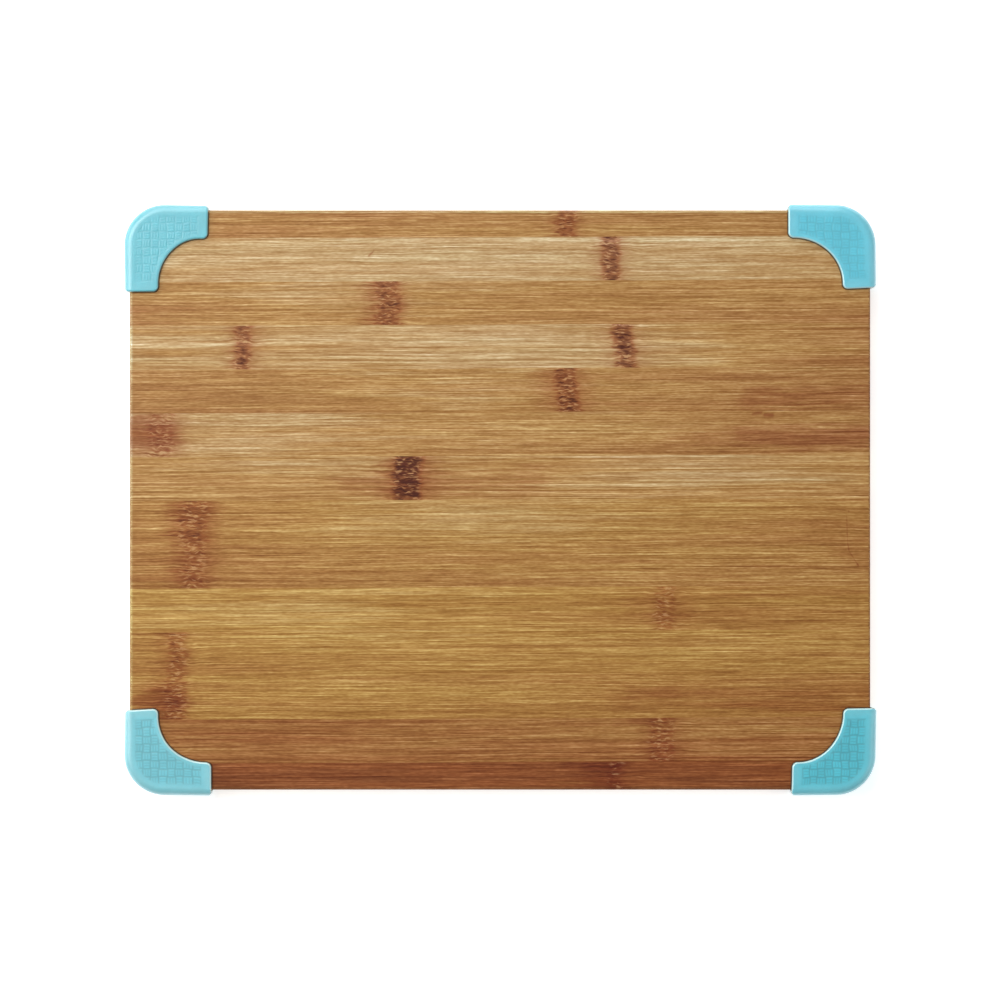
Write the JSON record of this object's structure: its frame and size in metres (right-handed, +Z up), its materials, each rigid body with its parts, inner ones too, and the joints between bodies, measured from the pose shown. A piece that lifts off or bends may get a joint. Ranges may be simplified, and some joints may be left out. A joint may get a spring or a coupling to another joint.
{
  "type": "cutting board",
  "caption": "Rectangular bamboo cutting board of glued strips with soft push-on corner guards that it stands on; both faces can be cut on.",
  "frame": {"origin": "on the counter, under the middle of the board", "axes": "+X along the face grain (the long side), +Y to the back edge, +Z up out of the cutting face"},
  "size_m": [0.3556, 0.2794, 0.015],
  "materials": {
    "bamboo": "satin",
    "corner_guard": "matte"
  },
  "bodies": {
    "board": {"top_lamella_01": "bamboo", "top_lamella_02": "bamboo", "top_lamella_03": "bamboo", "top_lamella_04": "bamboo", "top_lamella_05": "bamboo", "top_lamella_06": "bamboo", "top_lamella_07": "bamboo", "top_lamella_08": "bamboo", "top_lamella_09": "bamboo", "top_lamella_10": "bamboo", "top_lamella_11": "bamboo", "top_lamella_12": "bamboo", "top_lamella_13": "bamboo", "top_lamella_14": "bamboo", "core_lamella_01": "bamboo", "core_lamella_02": "bamboo", "core_lamella_03": "bamboo", "core_lamella_04": "bamboo", "core_lamella_05": "bamboo", "core_lamella_06": "bamboo", "core_lamella_07": "bamboo", "core_lamella_08": "bamboo", "core_lamella_09": "bamboo", "core_lamella_10": "bamboo", "core_lamella_11": "bamboo", "core_lamella_12": "bamboo", "core_lamella_13": "bamboo", "core_lamella_14": "bamboo", "core_lamella_15": "bamboo", "core_lamella_16": "bamboo", "core_lamella_17": "bamboo", "bottom_lamella_01": "bamboo", "bottom_lamella_02": "bamboo", "bottom_lamella_03": "bamboo", "bottom_lamella_04": "bamboo", "bottom_lamella_05": "bamboo", "bottom_lamella_06": "bamboo", "bottom_lamella_07": "bamboo", "bottom_lamella_08": "bamboo", "bottom_lamella_09": "bamboo", "bottom_lamella_10": "bamboo", "bottom_lamella_11": "bamboo", "bottom_lamella_12": "bamboo", "bottom_lamella_13": "bamboo", "bottom_lamella_14": "bamboo"},
    "back_left_guard": {"corner_guard_back_left": "corner_guard"},
    "back_right_guard": {"corner_guard_back_right": "corner_guard"},
    "front_left_guard": {"corner_guard_front_left": "corner_guard"},
    "front_right_guard": {"corner_guard_front_right": "corner_guard"}
  },
  "joints": [
    {"name": "back_left_guard_pull", "type": "slide", "parent": "board", "child": "back_left_guard", "axis": [-0.7071, 0.7071, 0], "range_m": [0, 0.06]},
    {"name": "back_right_guard_pull", "type": "slide", "parent": "board", "child": "back_right_guard", "axis": [0.7071, 0.7071, 0], "range_m": [0, 0.06]},
    {"name": "front_left_guard_pull", "type": "slide", "parent": "board", "child": "front_left_guard", "axis": [-0.7071, -0.7071, 0], "range_m": [0, 0.06]},
    {"name": "front_right_guard_pull", "type": "slide", "parent": "board", "child": "front_right_guard", "axis": [0.7071, -0.7071, 0], "range_m": [0, 0.06]}
  ]
}
